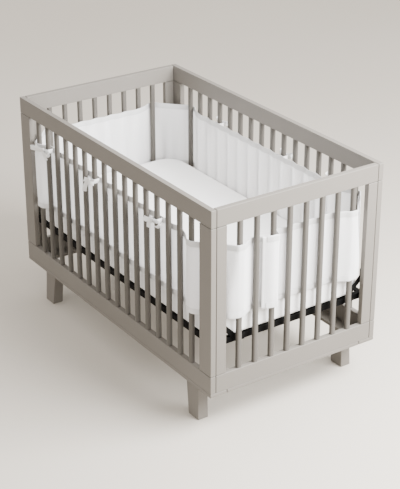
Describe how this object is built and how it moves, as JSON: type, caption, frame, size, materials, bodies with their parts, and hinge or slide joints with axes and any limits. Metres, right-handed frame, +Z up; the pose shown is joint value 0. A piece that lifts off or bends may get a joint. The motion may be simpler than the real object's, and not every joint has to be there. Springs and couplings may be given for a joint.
{
  "type": "crib bumper woven round the slats of a crib with its mattress",
  "caption": "White mesh liner with satin bindings and ribbon bows, woven round the slats of a rectangular crib above its mattress.",
  "frame": {"origin": "on the floor under the middle of the crib", "axes": "+Z up, +X along the crib towards the end where the liner's two ends lap, -Y towards the front long side"},
  "size_m": [1.3786, 0.8, 0.883],
  "materials": {
    "liner_mesh": "open white warp-knitted mesh",
    "liner_satin": "white satin ribbon, soft sheen",
    "crib_paint": "warm grey eggshell paint on hardwood",
    "mattress_sheet": "smooth white woven cotton",
    "support_metal": "black powder coat"
  },
  "bodies": {
    "root": {"liner_panel": "liner_mesh", "liner_top_binding": "liner_satin", "liner_bottom_binding": "liner_satin", "liner_end_binding": "liner_satin", "tie_front_1": "liner_satin", "tie_front_2": "liner_satin", "tie_front_3": "liner_satin", "tie_back_1": "liner_satin", "tie_back_2": "liner_satin", "tie_back_3": "liner_satin", "crib_side_front": "crib_paint", "crib_side_back": "crib_paint", "crib_end_near": "crib_paint", "crib_end_far": "crib_paint", "base_board_front": "crib_paint", "base_board_back": "crib_paint", "base_board_near": "crib_paint", "base_board_far": "crib_paint", "leg_front_near": "crib_paint", "leg_front_far": "crib_paint", "leg_back_near": "crib_paint", "leg_back_far": "crib_paint", "mattress": "mattress_sheet", "support_bar_front": "support_metal", "support_bar_back": "support_metal", "support_bar_near": "support_metal", "support_bar_far": "support_metal", "hanger_front_near": "support_metal", "hanger_front_far": "support_metal", "hanger_back_near": "support_metal", "hanger_back_far": "support_metal"}
  },
  "joints": []
}
